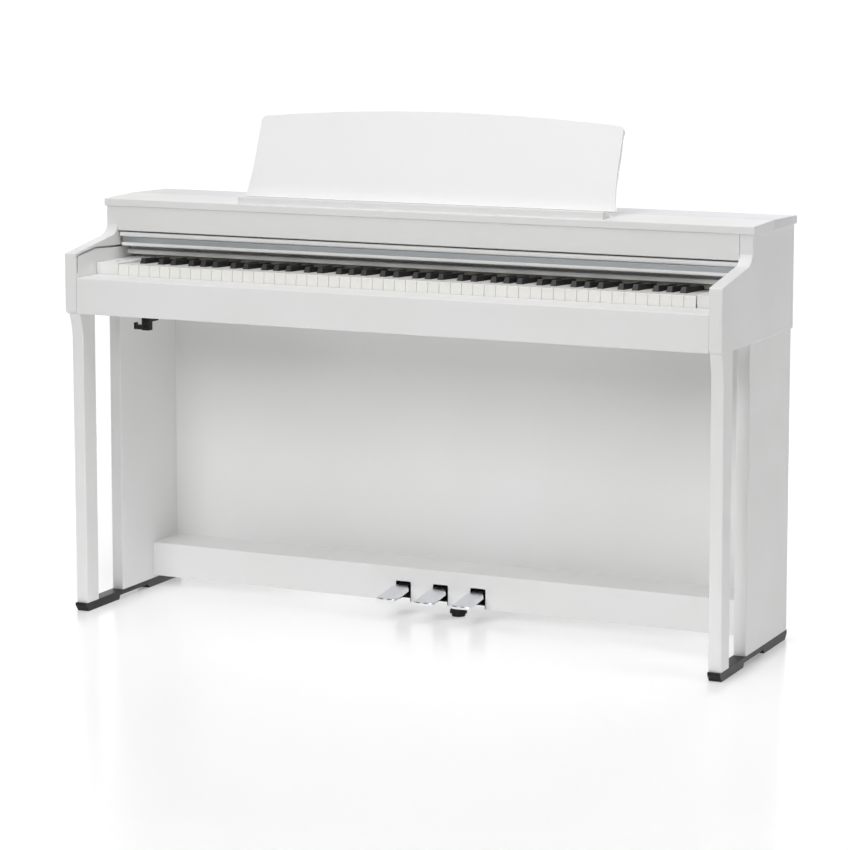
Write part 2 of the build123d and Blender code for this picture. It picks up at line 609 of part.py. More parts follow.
def front_leg(side):
    """Straight front leg with a hollow curve in its face just under the case."""
    with BuildPart() as leg:
        with BuildSketch(Plane.YZ.offset(-STAND_OUTER if side < 0 else STAND_INNER)):
            with BuildLine():
                ThreePointArc(point(LEG_TOP_SETBACK, CASE_BOTTOM), point(*LEG_COVE[0]), point(*LEG_COVE[1]))
                Polyline(point(*LEG_COVE[1]), point(LEG_FOOT, SHOE_TOP), point(LEG_REAR, SHOE_TOP),
                         point(LEG_REAR, CASE_BOTTOM), point(LEG_TOP_SETBACK, CASE_BOTTOM))
            make_face()
        extrude(amount=STAND_BOARD)
        ease_ends(leg, ARRIS, lambda x, d, z: SHOE_TOP + 1 < z < CASE_BOTTOM - 1)
    return leg.part


def side_board(side):
    low, high = sorted((side * STAND_INNER, side * STAND_OUTER))
    with BuildPart() as board:
        block(low, high, SIDE_BOARD_FRONT, SIDE_BOARD_REAR, SHOE_TOP, CASE_BOTTOM)
        fillet(board.edges().filter_by(Axis.Z), radius=ARRIS)
    return board.part


SHOE_PADS = ((27.0, 147.0), (268.0, 393.0))
SHOE_LIFT = 8.0


def shoe(side):
    """Moulded foot under one leg and one side board, standing on a front and a rear pad."""
    low, high = sorted((side * (STAND_INNER + 0.4), side * (STAND_OUTER + 0.2)))
    front_pad, rear_pad = SHOE_PADS
    with BuildPart() as foot:
        run([(18.0, SHOE_TOP), (18.0, SHOE_TOP - 5), (front_pad[0], 0), (front_pad[1], 0),
             (front_pad[1] + 4, SHOE_LIFT), (rear_pad[0] - 4, SHOE_LIFT), (rear_pad[0], 0), (rear_pad[1], 0),
             (403.5, SHOE_TOP - 8), (403.5, SHOE_TOP)], low, high)
    return foot.part


for stand_side, side_name in ((-1, "left"), (1, "right")):
    save(front_leg(stand_side), f"{side_name}_leg")
    save(side_board(stand_side), f"{side_name}_side_board")
    save(shoe(stand_side), f"{side_name}_shoe")

with BuildPart() as back_panel:
    block(-STAND_INNER, STAND_INNER, BACK_FRONT, BACK_FRONT + BACK_THICKNESS, BOX_BOTTOM, CASE_BOTTOM)
    screw_holes(BACK_SCREWS, BACK_FRONT + BACK_THICKNESS)
save(back_panel.part, "back_panel")

with BuildPart() as rear_screws:
    for places, depth in ((REAR_SCREWS, CASE_DEPTH), (BACK_SCREWS, BACK_FRONT + BACK_THICKNESS)):
        with BuildSketch(Plane.XZ.offset(-(FRONT + depth))):
            with Locations(*places):
                Circle(SCREW_SHANK)
        extrude(amount=SCREW_LENGTH)
        with BuildSketch(Plane.XZ.offset(-(FRONT + depth))):
            with Locations(*places):
                Circle(4.5)
        extrude(amount=-2.0)
save(rear_screws.part, "rear_screws")

# ---------------------------------------------------------------- pedal box and pedals
PEDALS_X = (-PEDAL_PITCH, 0.0, PEDAL_PITCH)
BOX_LID = 14.0
with BuildPart() as pedal_box_front:
    block(-STAND_INNER, STAND_INNER, BOX_FRONT, BOX_FRONT + BOX_BOARD, BOX_BOTTOM, BOX_TOP)
    for x in PEDALS_X:
        block(x - NOTCH_WIDTH / 2, x + NOTCH_WIDTH / 2, BOX_FRONT, BOX_FRONT + BOX_BOARD, BOX_BOTTOM, NOTCH_TOP,
              Mode.SUBTRACT)
    notch_corners = pedal_box_front.edges().filter_by(Axis.Y).filter_by(
        lambda edge: abs(edge.center().Z - NOTCH_TOP) < 0.1)
    fillet(notch_corners, radius=5.0)
    round_over(pedal_box_front, 1.5, lambda d, z: d < BOX_FRONT + 1 and z > BOX_TOP - 1)
save(pedal_box_front.part, "pedal_box_front")

with BuildPart() as pedal_box_top:
    block(-STAND_INNER, STAND_INNER, BOX_FRONT + BOX_BOARD, BACK_FRONT, BOX_TOP - BOX_LID, BOX_TOP)
save(pedal_box_top.part, "pedal_box_top")

STUD_RADIUS = 4.0
BRACKET_BASE = 27.0
BRACKET_HALF = 130.0
BRACKET_FRONT = 303.0
BRACKET_REAR = 387.0
BRACKET_TOP = 78.0
CHEEK_OFFSET = 15.5
CHEEK_REACH = 12.0
CHEEK_TOP = 70.0
with BuildPart() as pedal_bracket:
    block(-BRACKET_HALF, BRACKET_HALF, BRACKET_FRONT, BRACKET_REAR, BRACKET_BASE, BRACKET_BASE + SHEET)
    block(-BRACKET_HALF, BRACKET_HALF, BRACKET_REAR - SHEET, BRACKET_REAR, BRACKET_BASE + SHEET, BRACKET_TOP)
    for x in PEDALS_X:
        for cheek_x in (x - CHEEK_OFFSET - SHEET, x + CHEEK_OFFSET):
            block(cheek_x, cheek_x + SHEET, PEDAL_PIVOT[0] - CHEEK_REACH, PEDAL_PIVOT[0] + CHEEK_REACH,
                  BRACKET_BASE + SHEET, CHEEK_TOP)
    rod(-BRACKET_HALF, BRACKET_HALF, *PEDAL_PIVOT, PIVOT_RADIUS, Mode.SUBTRACT)
    with BuildSketch(Plane.XY.offset(BRACKET_BASE)):
        with Locations((ADJUSTER_X, FRONT + ADJUSTER_DEPTH)):
            Circle(STUD_RADIUS + RUNNING_FIT)
    extrude(amount=SHEET, mode=Mode.SUBTRACT)
save(pedal_bracket.part, "pedal_bracket")

COIL = (17.6, 22.0)            # where a return spring sits beside its pedal, and where the rod ends
COIL_RADIUS = 6.5
with BuildPart() as pedal_pivot_rod:
    rod(-PEDAL_PITCH - COIL[1], PEDAL_PITCH + COIL[1], *PEDAL_PIVOT, PIVOT_RADIUS)
save(pedal_pivot_rod.part, "pedal_pivot_rod")

with BuildPart() as pedal_springs:
    for x in PEDALS_X:
        rod(x + COIL[0], x + COIL[1] - 0.2, *PEDAL_PIVOT, COIL_RADIUS)
    rod(-BRACKET_HALF, BRACKET_HALF, *PEDAL_PIVOT, PIVOT_RADIUS, Mode.SUBTRACT)
save(pedal_springs.part, "pedal_springs")

PADDLE_HALF = 20.5
CORNER = 4.0
RIM = 3.4                      # nearly the full round of the plate edge
BOSS_RADIUS = 7.0
BOSS_HALF = 15.0
TAIL = 10.0                    # how far the lever runs on behind the pivot
NECK_HALF = 12.5
PADDLE_FRONT = 201.0
PADDLE_REAR = 268.0
NECK_FRONT = 282.0
BOW = 1.0                      # how far the paddle's front edge swells at its middle


def pedal_plane(above):
    tilt = radians(PEDAL_SLOPE)
    normal = Vector(0, -sin(tilt), cos(tilt))
    return Plane(origin=Vector(0, *point(*PEDAL_PIVOT)) + normal * above, x_dir=(1, 0, 0), z_dir=normal)


def pedal(x):
    """Plated lever: a wide paddle in front of the box, a narrower neck back to the pivot rod."""
    def along(depth):
        return (depth - PEDAL_PIVOT[0]) / cos(radians(PEDAL_SLOPE))
    front, rear, neck = along(PADDLE_FRONT), along(PADDLE_REAR), along(NECK_FRONT)
    with BuildPart() as lever:
        with BuildSketch(pedal_plane(PEDAL_THICKNESS / 2)):
            with BuildLine():
                ThreePointArc((x - PADDLE_HALF, front + BOW), (x, front), (x + PADDLE_HALF, front + BOW))
                Polyline((x + PADDLE_HALF, front + BOW), (x + PADDLE_HALF, rear), (x + NECK_HALF, neck),
                         (x + NECK_HALF, TAIL), (x - NECK_HALF, TAIL), (x - NECK_HALF, neck),
                         (x - PADDLE_HALF, rear), (x - PADDLE_HALF, front + BOW))
            make_face()
        extrude(amount=-PEDAL_THICKNESS)
        upright = lever.edges().filter_by(lambda e: abs(e.length - PEDAL_THICKNESS) < 0.01
                                          and e.center().Y < FRONT + PADDLE_FRONT + 8)
        fillet(upright, radius=CORNER)
        rims = lever.edges().filter_by(lambda e: e.center().Y < FRONT + PADDLE_REAR - 5
                                       and abs(e.length - PEDAL_THICKNESS) > 0.01)
        fillet(rims, radius=RIM)
        rod(x - BOSS_HALF, x + BOSS_HALF, *PEDAL_PIVOT, BOSS_RADIUS)
        rod(x - BOSS_HALF, x + BOSS_HALF, *PEDAL_PIVOT, PIVOT_RADIUS + RUNNING_FIT, Mode.SUBTRACT)
    return lever.part


for pedal_name, pedal_x in zip(("left_pedal", "middle_pedal", "right_pedal"), PEDALS_X):
    save(pedal(pedal_x), pedal_name)

STUD_FOOT = 4.0
STUD_LENGTH = 40.0
KNOB_WAIST = 6.0
KNOB_TOP = 13.4
KNOB_RADII = (14.0, 17.5)      # rubber foot and grip
with BuildPart() as adjuster_stud:
    with BuildSketch(Plane.XY.offset(STUD_FOOT)):
        with Locations((ADJUSTER_X, FRONT + ADJUSTER_DEPTH)):
            Circle(STUD_RADIUS)
    extrude(amount=STUD_LENGTH)
save(adjuster_stud.part, "adjuster_stud")

with BuildPart() as adjuster_knob:
    with BuildSketch(Plane.XY):
        with Locations((ADJUSTER_X, FRONT + ADJUSTER_DEPTH)):
            Circle(KNOB_RADII[0])
    extrude(amount=KNOB_WAIST)
    with BuildSketch(Plane.XY.offset(KNOB_WAIST)):
        with Locations((ADJUSTER_X, FRONT + ADJUSTER_DEPTH)):
            Circle(KNOB_RADII[1])
    extrude(amount=KNOB_TOP - KNOB_WAIST)
    chamfer(adjuster_knob.edges().group_by(Axis.Z)[0], length=1.0)
    chamfer(adjuster_knob.edges().group_by(Axis.Z)[-1], length=1.5)
    with BuildSketch(Plane.XY.offset(STUD_FOOT)):
        with Locations((ADJUSTER_X, FRONT + ADJUSTER_DEPTH)):
            Circle(STUD_RADIUS + RUNNING_FIT)
    extrude(amount=KNOB_TOP, mode=Mode.SUBTRACT)
save(adjuster_knob.part, "adjuster_knob")

# ---------------------------------------------------------------- headphone fittings
JACK_X = -537.25
LARGE_JACK = (599.5, 3.2, 32.0)     # height, bore radius and bore length
SMALL_JACK = (583.5, 1.8, 14.0)
BOX_SIDES = (JACK_X - 8.75, JACK_X + 8.75)
BOX_FACE = 52.0
BOX_REAR = (BOX_FACE + 16.0, BOX_FACE + 38.0)   # rear faces of the lower and the upper half
BOX_LEVELS = (576.0, 592.5, 608.0)              # foot, step and top of the box
HOOK_DEPTHS = (54.0, 64.0)
HOOK_FOOT = 577.0
with BuildPart() as headphone_jack_box:
    block(*BOX_SIDES, BOX_FACE, BOX_REAR[0], BOX_LEVELS[0], BOX_LEVELS[2])
    fillet(headphone_jack_box.edges().filter_by(Axis.Z), radius=2.5)
    block(*BOX_SIDES, BOX_FACE + 12.0, BOX_REAR[1], BOX_LEVELS[1], BOX_LEVELS[2])
    for height, radius, length in (LARGE_JACK, SMALL_JACK):
        with BuildSketch(Plane.XZ.offset(-(FRONT + BOX_FACE))):
            with Locations((JACK_X, height)):
                Circle(radius)
        extrude(amount=-length, mode=Mode.SUBTRACT)
save(headphone_jack_box.part, "headphone_jack_box")

with BuildPart() as headphone_hook:
    block(BOX_SIDES[0] - 14.0, BOX_SIDES[0], *HOOK_DEPTHS, HOOK_FOOT, HOOK_FOOT + 9.0)
    block(BOX_SIDES[0] - 18.0, BOX_SIDES[0] - 14.0, *HOOK_DEPTHS, HOOK_FOOT, HOOK_FOOT + 13.0)
save(headphone_hook.part, "headphone_hook")
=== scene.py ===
"""Digital piano on its stand: finishes, small fittings, floor, light and camera."""
import math

import bpy
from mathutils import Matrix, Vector


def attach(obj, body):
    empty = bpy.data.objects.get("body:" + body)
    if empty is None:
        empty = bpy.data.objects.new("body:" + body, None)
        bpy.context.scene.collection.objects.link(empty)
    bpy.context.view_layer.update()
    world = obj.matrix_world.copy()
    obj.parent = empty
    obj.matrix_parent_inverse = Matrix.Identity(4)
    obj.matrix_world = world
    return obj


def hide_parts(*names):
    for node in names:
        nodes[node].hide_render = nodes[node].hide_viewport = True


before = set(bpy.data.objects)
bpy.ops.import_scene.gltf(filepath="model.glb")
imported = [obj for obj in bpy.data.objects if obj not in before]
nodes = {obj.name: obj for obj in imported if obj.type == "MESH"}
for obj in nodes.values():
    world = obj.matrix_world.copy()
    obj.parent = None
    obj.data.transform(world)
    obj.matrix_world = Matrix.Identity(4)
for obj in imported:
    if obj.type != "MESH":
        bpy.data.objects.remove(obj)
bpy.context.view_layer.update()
bpy.ops.object.select_all(action="DESELECT")

MM = 0.001
ARM_FRONT = -0.205          # Y of the case arms' front faces, in metres


# ---------------------------------------------------------------- finishes
def srgb(code):
    """A hex colour as the linear values that a shader takes."""
    parts = [int(code[i:i + 2], 16) / 255 for i in (1, 3, 5)]
    return tuple(c / 12.92 if c <= 0.04045 else ((c + 0.055) / 1.055) ** 2.4 for c in parts) + (1.0,)


def per(millimetres):
    """Pattern scale that gives one repeat in this many millimetres."""
    return 1.0 / (millimetres * MM)


def feed(tree, node, inputs):
    """Each input named: linked where a socket is given, otherwise set to the value."""
    for name, value in inputs.items():
        if isinstance(value, bpy.types.NodeSocket):
            tree.links.new(value, node.inputs[name])
        else:
            node.inputs[name].default_value = value


def add(tree, kind, inputs, out=0, **settings):
    """One node with its settings and its inputs fed; gives back the output asked for."""
    node = tree.nodes.new("ShaderNode" + kind)
    for name, value in settings.items():
        setattr(node, name, value)
    feed(tree, node, inputs)
    return node.outputs[out]


def begin(name):
    """A new finish: its node tree, its shader, and the piece's own coordinates."""
    material = bpy.data.materials.new(name)
    material.use_nodes = True
    tree = material.node_tree
    return material, tree, tree.nodes["Principled BSDF"], add(tree, "TexCoord", {}, "Object")


def lacquered_board(name="white_satin_lacquer", low="#F1F1F0", high="#F4F4F4"):
    """Satin white polyurethane lacquer sprayed on MDF: an even white with a soft broad sheen, a very faint
    orange peel where the spray levelled out, and edges sanded round before the coat."""
    material, tree, shader, place = begin(name)
    drift = add(tree, "TexNoise", {"Vector": place, "Scale": per(260)})
    batch = add(tree, "MapRange", {"Value": drift, "From Min": 0.3, "From Max": 0.7})
    white = add(tree, "Mix", {0: batch, 6: srgb(low), 7: srgb(high)}, 2, data_type="RGBA")
    wiped = add(tree, "TexNoise", {"Vector": place, "Scale": per(55), "Detail": 3.0})
    sheen = add(tree, "MapRange", {"Value": wiped, "From Min": 0.3, "From Max": 0.7, "To Min": 0.36, "To Max": 0.46})
    arris = add(tree, "Bevel", {"Radius": 1.2 * MM}, samples=6)
    peel = add(tree, "TexNoise", {"Vector": place, "Scale": per(3.2), "Detail": 1.0})
    level = add(tree, "Bump", {"Height": peel, "Distance": 0.012 * MM, "Strength": 0.5, "Normal": arris})
    dust = add(tree, "TexNoise", {"Vector": place, "Scale": per(0.9), "Detail": 0.0})
    skin = add(tree, "Bump", {"Height": dust, "Distance": 0.004 * MM, "Strength": 0.4, "Normal": level})
    feed(tree, shader, {"Base Color": white, "Roughness": sheen, "IOR": 1.5, "Normal": skin})
    return material


def foil_board():
    """White decor foil on thin fibreboard, as used for stand backs: flatter than lacquer, with a faint
    emboss rolled in along the board."""
    material, tree, shader, place = begin("white_foil_board")
    drift = add(tree, "TexNoise", {"Vector": place, "Scale": per(320)})
    batch = add(tree, "MapRange", {"Value": drift, "From Min": 0.3, "From Max": 0.7})
    white = add(tree, "Mix", {0: batch, 6: srgb("#EFEFEE"), 7: srgb("#F2F3F2")}, 2, data_type="RGBA")
    drawn = add(tree, "Mapping", {"Vector": place, "Scale": (1, 1, 0.06)})
    rolled = add(tree, "TexNoise", {"Vector": drawn, "Scale": per(1.6)})
    sheen = add(tree, "MapRange", {"Value": rolled, "To Min": 0.44, "To Max": 0.56})
    edge = add(tree, "Bevel", {"Radius": 0.6 * MM}, samples=6)
    emboss = add(tree, "Bump", {"Height": rolled, "Distance": 0.02 * MM, "Strength": 0.5, "Normal": edge})
    feed(tree, shader, {"Base Color": white, "Roughness": sheen, "IOR": 1.48, "Normal": emboss})
    return material


def ivory_touch():
    """Moulded key resin with an ivory-touch face: warm white, a little light passes into it, and very fine
    grain lines run along the key so fingers grip."""
    material, tree, shader, place = begin("ivory_touch_resin")
    drift = add(tree, "TexNoise", {"Vector": place, "Scale": per(40)})
    batch = add(tree, "MapRange", {"Value": drift, "From Min": 0.3, "From Max": 0.7})
    ivory = add(tree, "Mix", {0: batch, 6: srgb("#F8F7F2"), 7: srgb("#FAF9F5")}, 2, data_type="RGBA")
    drawn = add(tree, "Mapping", {"Vector": place, "Scale": (1, 0.04, 1)})
    grain = add(tree, "TexNoise", {"Vector": drawn, "Scale": per(0.7)})
    sheen = add(tree, "MapRange", {"Value": grain, "To Min": 0.24, "To Max": 0.36})
    ridges = add(tree, "Bump", {"Height": grain, "Distance": 0.015 * MM, "Strength": 0.35})
    feed(tree, shader, {"Base Color": ivory, "Roughness": sheen, "IOR": 1.5, "Normal": ridges,
                        "Subsurface Weight": 0.08, "Subsurface Scale": 0.002, "Subsurface Radius": (1.0, 0.8, 0.6)})
    return material


def ebony_touch():
    """Moulded key resin with an ebony-touch face: near-black, satin, with open pores drawn out along the
    key. The pores are drawn a little coarser than life so they show."""
    material, tree, shader, place = begin("ebony_touch_resin")
    drawn = add(tree, "Mapping", {"Vector": place, "Scale": (1, 0.05, 1)})
    pores = add(tree, "TexNoise", {"Vector": drawn, "Scale": per(0.9), "Detail": 3.0})
    open_grain = add(tree, "MapRange", {"Value": pores, "From Min": 0.35, "From Max": 0.7})
    black = add(tree, "Mix", {0: open_grain, 6: srgb("#161617"), 7: srgb("#222223")}, 2, data_type="RGBA")
    sheen = add(tree, "MapRange", {"Value": pores, "To Min": 0.3, "To Max": 0.46})
    edge = add(tree, "Bevel", {"Radius": 0.7 * MM}, samples=6)
    grooves = add(tree, "Bump", {"Height": pores, "Distance": 0.03 * MM, "Strength": 0.5, "Normal": edge})
    feed(tree, shader, {"Base Color": black, "Roughness": sheen, "IOR": 1.52, "Normal": grooves})
    return material


def pressed_felt():
    """Pressed wool felt: matt cream with matted fibres a few tenths of a millimetre thick and a fuzzy edge."""
    material, tree, shader, place = begin("pressed_wool_felt")
    fibres = add(tree, "TexNoise", {"Vector": place, "Scale": per(0.8), "Detail": 6.0, "Roughness": 0.7})
    wool = add(tree, "Mix", {0: fibres, 6: srgb("#C9C4B6"), 7: srgb("#E2DFD4")}, 2, data_type="RGBA")
    matted = add(tree, "Bump", {"Height": fibres, "Distance": 0.25 * MM, "Strength": 0.7})
    feed(tree, shader, {"Base Color": wool, "Roughness": 0.95, "Normal": matted, "Sheen Weight": 0.4,
                        "Sheen Roughness": 0.5})
    return material


def anodised_strip():
    """Brushed and anodised aluminium extrusion: cool grey satin, fine brush lines along its length, so
    reflections spread up and down but stay sharp along it. Lines drawn at 0.5 mm so they show."""
    material, tree, shader, place = begin("brushed_anodised_aluminium")
    drawn = add(tree, "Mapping", {"Vector": place, "Scale": (0.01, 1, 1)})
    lines = add(tree, "TexNoise", {"Vector": drawn, "Scale": per(0.5), "Detail": 4.0, "Roughness": 0.6})
    grey = add(tree, "Mix", {0: lines, 6: srgb("#A4A9AD"), 7: srgb("#BFC4C8")}, 2, data_type="RGBA")
    sheen = add(tree, "MapRange", {"Value": lines, "To Min": 0.3, "To Max": 0.42})
    edge = add(tree, "Bevel", {"Radius": 0.5 * MM}, samples=6)
    brushed = add(tree, "Bump", {"Height": lines, "Distance": 0.01 * MM, "Strength": 0.4, "Normal": edge})
    feed(tree, shader, {"Base Color": grey, "Roughness": sheen, "Metallic": 1.0, "Anisotropic": 0.6,
                        "Normal": brushed})
    return material


def zinc_steel():
    """Zinc-plated steel: bright grey with the soft patchy bloom of passivation and fine drawing lines."""
    material, tree, shader, place = begin("zinc_plated_steel")
    bloom = add(tree, "TexNoise", {"Vector": place, "Scale": per(9), "Detail": 4.0, "Roughness": 0.6})
    zinc = add(tree, "Mix", {0: bloom, 6: srgb("#B4B5B3"), 7: srgb("#D0D1CE")}, 2, data_type="RGBA")
    sheen = add(tree, "MapRange", {"Value": bloom, "From Min": 0.3, "From Max": 0.7, "To Min": 0.24, "To Max": 0.42})
    edge = add(tree, "Bevel", {"Radius": 0.4 * MM}, samples=6)
    crystals = add(tree, "TexNoise", {"Vector": place, "Scale": per(0.7)})
    skin = add(tree, "Bump", {"Height": crystals, "Distance": 0.01 * MM, "Strength": 0.5, "Normal": edge})
    feed(tree, shader, {"Base Color": zinc, "Roughness": sheen, "Metallic": 1.0, "Normal": skin})
    return material


def powder_coat():
    """Black powder coat on pressed steel: soft sheen over a fine pebbled skin about a millimetre apart."""
    material, tree, shader, place = begin("black_powder_coat")
    drift = add(tree, "TexNoise", {"Vector": place, "Scale": per(30)})
    black = add(tree, "Mix", {0: drift, 6: srgb("#151617"), 7: srgb("#1D1E1F")}, 2, data_type="RGBA")
    pebble = add(tree, "TexNoise", {"Vector": place, "Scale": per(1.1), "Detail": 1.0})
    sheen = add(tree, "MapRange", {"Value": pebble, "To Min": 0.45, "To Max": 0.6})
    edge = add(tree, "Bevel", {"Radius": 0.6 * MM}, samples=6)
    skin = add(tree, "Bump", {"Height": pebble, "Distance": 0.05 * MM, "Strength": 0.6, "Normal": edge})
    feed(tree, shader, {"Base Color": black, "Roughness": sheen, "IOR": 1.5, "Normal": skin})
    return material


def moulded_black():
    """Black ABS moulding with a spark-eroded texture: matt, a shade lighter where it has been handled."""
    material, tree, shader, place = begin("moulded_black_abs")
    handled = add(tree, "TexNoise", {"Vector": place, "Scale": per(22), "Detail": 3.0})
    black = add(tree, "Mix", {0: handled, 6: srgb("#08090A"), 7: srgb("#0E0F10")}, 2, data_type="RGBA")
    spark = add(tree, "TexNoise", {"Vector": place, "Scale": per(0.6), "Detail": 3.0, "Roughness": 0.6})
    sheen = add(tree, "MapRange", {"Value": spark, "To Min": 0.34, "To Max": 0.5})
    edge = add(tree, "Bevel", {"Radius": 0.8 * MM}, samples=6)
    skin = add(tree, "Bump", {"Height": spark, "Distance": 0.03 * MM, "Strength": 0.5, "Normal": edge})
    feed(tree, shader, {"Base Color": black, "Roughness": sheen, "IOR": 1.53, "Specular IOR Level": 0.3,
                        "Normal": skin})
    return material


def moulded_grey():
    """Light grey ABS button caps: satin, with a slight pearl from the moulding."""
    material, tree, shader, place = begin("moulded_grey_abs")
    pearl = add(tree, "TexNoise", {"Vector": place, "Scale": per(6)})
    grey = add(tree, "Mix", {0: pearl, 6: srgb("#C9CACB"), 7: srgb("#D3D4D5")}, 2, data_type="RGBA")
    fine = add(tree, "TexNoise", {"Vector": place, "Scale": per(0.5)})
    sheen = add(tree, "MapRange", {"Value": fine, "To Min": 0.3, "To Max": 0.42})
    edge = add(tree, "Bevel", {"Radius": 0.4 * MM}, samples=6)
    skin = add(tree, "Bump", {"Height": fine, "Distance": 0.01 * MM, "Strength": 0.5, "Normal": edge})
    feed(tree, shader, {"Base Color": grey, "Roughness": sheen, "IOR": 1.53, "Normal": skin})
    return material


def satin_plating():
    """Nickel plate on a steel pressing: the tread is brushed lengthways to a pale satin and the rolled
    edges are left polished, so they flash bright and dark."""
    material, tree, shader, place = begin("satin_nickel_plate")
    drawn = add(tree, "Mapping", {"Vector": place, "Scale": (1, 0.02, 1)})
    brush = add(tree, "TexNoise", {"Vector": drawn, "Scale": per(0.5), "Detail": 4.0, "Roughness": 0.6})
    nickel = add(tree, "Mix", {0: brush, 6: srgb("#E6E7EC"), 7: srgb("#F4F4F8")}, 2, data_type="RGBA")
    upward = add(tree, "SeparateXYZ", {0: add(tree, "NewGeometry", {}, "Normal")}, "Z")
    tread = add(tree, "MapRange", {"Value": upward, "From Min": 0.9, "From Max": 0.97})
    satin = add(tree, "MapRange", {"Value": brush, "To Min": 0.26, "To Max": 0.38})
    polished = add(tree, "MapRange", {"Value": brush, "To Min": 0.05, "To Max": 0.08})
    sheen = add(tree, "Mix", {0: tread, 2: polished, 3: satin}, data_type="FLOAT")
    edge = add(tree, "Bevel", {"Radius": 0.6 * MM}, samples=6)
    skin = add(tree, "Bump", {"Height": brush, "Distance": 0.006 * MM, "Strength": 0.4, "Normal": edge})
    feed(tree, shader, {"Base Color": nickel, "Roughness": sheen, "Metallic": 1.0, "Normal": skin})
    return material


def speaker_paper():
    """Black pulp speaker cone and frame: matt fibrous paper."""
    material, tree, shader, place = begin("black_pulp_paper")
    pulp = add(tree, "TexNoise", {"Vector": place, "Scale": per(1.2), "Detail": 5.0, "Roughness": 0.65})
    black = add(tree, "Mix", {0: pulp, 6: srgb("#131313"), 7: srgb("#222120")}, 2, data_type="RGBA")
    skin = add(tree, "Bump", {"Height": pulp, "Distance": 0.1 * MM, "Strength": 0.6})
    feed(tree, shader, {"Base Color": black, "Roughness": 0.85, "IOR": 1.4, "Normal": skin})
    return material


def solder_resist():
    """Green solder resist over copper: glassy, with lighter tracks showing through."""
    material, tree, shader, place = begin("green_solder_resist")
    green = add(tree, "TexBrick", {"Vector": place, "Scale": per(9.0), "Mortar Size": 0.08,
                                   "Color1": srgb("#0E4A2A"), "Color2": srgb("#0C4025"), "Mortar": srgb("#2A7A4C")})
    tracks = add(tree, "Bump", {"Height": green.node.outputs["Fac"], "Distance": 0.03 * MM, "Strength": 0.6})
    feed(tree, shader, {"Base Color": green, "Roughness": 0.25, "IOR": 1.55, "Normal": tracks})
    return material


FINISHES = {
    "white_cabinet": lacquered_board(),
    "white_key": ivory_touch(),
    "black_key": ebony_touch(),
    "cream_felt": pressed_felt(),
    "silver_strip": anodised_strip(),
    "steel": zinc_steel(),
    "black_steel": powder_coat(),
    "black_plastic": moulded_black(),
    "grey_plastic": moulded_grey(),
    "plated_pedal": satin_plating(),
    "speaker_black": speaker_paper(),
    "circuit_board": solder_resist(),
}
for node in nodes.values():
    kind = node.data.materials[0].name.split(".")[0]
    for index in range(len(node.data.materials)):
        node.data.materials[index] = FINISHES[kind]
nodes["back_panel"].data.materials[0] = foil_board()
# The rear top board gets a darker, cooler copy of the same white lacquer: painted shade for the rear half of the
# top, not a different paint batch.
nodes["top_board_rear"].data.materials[0] = lacquered_board("lacquer_painted_rear_shade", "#E6E7EB", "#E9EAEE")
# The music rest gets a brighter copy of the same white lacquer: painted light on the rest, not a different paint
# batch.
nodes["music_rest"].data.materials[0] = lacquered_board("lacquer_painted_light_rest", "#FAFAFA", "#FCFCFC")

# ---------------------------------------------------------------- small fittings
PEDALS = (("left_pedal_liner", -82.0), ("middle_pedal_liner", 0.0), ("right_pedal_liner", 82.0))
SLOT_HALF = 16.4            # half width of a pedal slot's liner
SLOT_WALL = 1.3
SLOT_LOW = (286.7, 23.9)    # depth and height of the liner's front foot
SLOT_HIGH = (324.0, 64.4)   # and of its rear top
LIP_HALF = 660.0
LIP_LOW = (169.6, 728.7)    # depth and height of the lip's front foot
LIP_HIGH = (175.0, 735.6)
SOCKET_X = -537.25
SOCKET_FACE = 51.3          # depth of the middle of the nuts
SOCKET_NUT = 1.4            # thickness of a nut
# name, height, bore radius and wall of each nut
SOCKETS = (("large_jack_ring", 599.5, 3.2, 1.7), ("small_jack_ring", 583.5, 1.8, 1.2))
CASE_REAR = 404.0
PANEL_REAR = 400.0
CASE_SCREWS = [(x, 700.0, CASE_REAR) for x in (-640, -320, 320, 640)]
PANEL_SCREWS = [(x, z, PANEL_REAR) for x in (-645, 645) for z in (60, 240, 420, 590)]
SCREW_HEAD = (4.5, 2.0, 1.3)        # radius, height and roundness of the dome
SCREW_SHANK = (2.1, 9.0)            # radius and length
SCREW_CROSS = (3.9, 0.9)            # length and width of the recess
HINGE_SCREWS = (-264, -236, 236, 264)
HINGE_SCREW_DEPTH = 243.0
HINGE_SCREW_LEVEL = 828.7
HINGE_HEAD = (2.7, 1.6, 0.9)
HINGE_CROSS = (3.0, 0.6)
SPEAKERS = (("left_speaker_grille", -430.0), ("right_speaker_grille", 430.0))
SPEAKER_DEPTH = 220.0
GRILLE_OUTER = (146.0, 100.0)
GRILLE_BORDER = 10.0
GRILLE_LEVELS = (603.6, 607.2)
SLATS = 13
SLAT_PITCH = 6.0
SLAT_HALF = (64.0, 1.3)             # half length and half width


def at(x, depth, height):
    """A point of the row frame from its millimetres: across, back from the arm fronts, and up."""
    return Vector((x * MM, ARM_FRONT + depth * MM, height * MM))


def activate(piece):
    """Makes a piece the only selected one, and the active one."""
    bpy.ops.object.select_all(action="DESELECT")
    piece.select_set(True)
    bpy.context.view_layer.objects.active = piece


def keep(piece, name, body, slot):
    """Settles a piece: transforms into its mesh, named, painted, and riding on its body."""
    activate(piece)
    bpy.ops.object.transform_apply(location=True, rotation=True, scale=True)
    bpy.ops.object.shade_smooth_by_angle(angle=math.radians(35))
    piece.name = name
    piece.data.name = name
    piece.data.materials.clear()
    piece.data.materials.append(FINISHES[slot])
    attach(piece, body)
    piece.select_set(False)
    return piece


def start_box(low, high):
    """A box between two corners, its size in its mesh and its origin at its middle."""
    bpy.ops.object.select_all(action="DESELECT")
    bpy.ops.mesh.primitive_cube_add(size=1, location=(low + high) / 2)
    piece = bpy.context.object
    piece.scale = high - low
    bpy.ops.object.transform_apply(location=False, rotation=False, scale=True)
    return piece


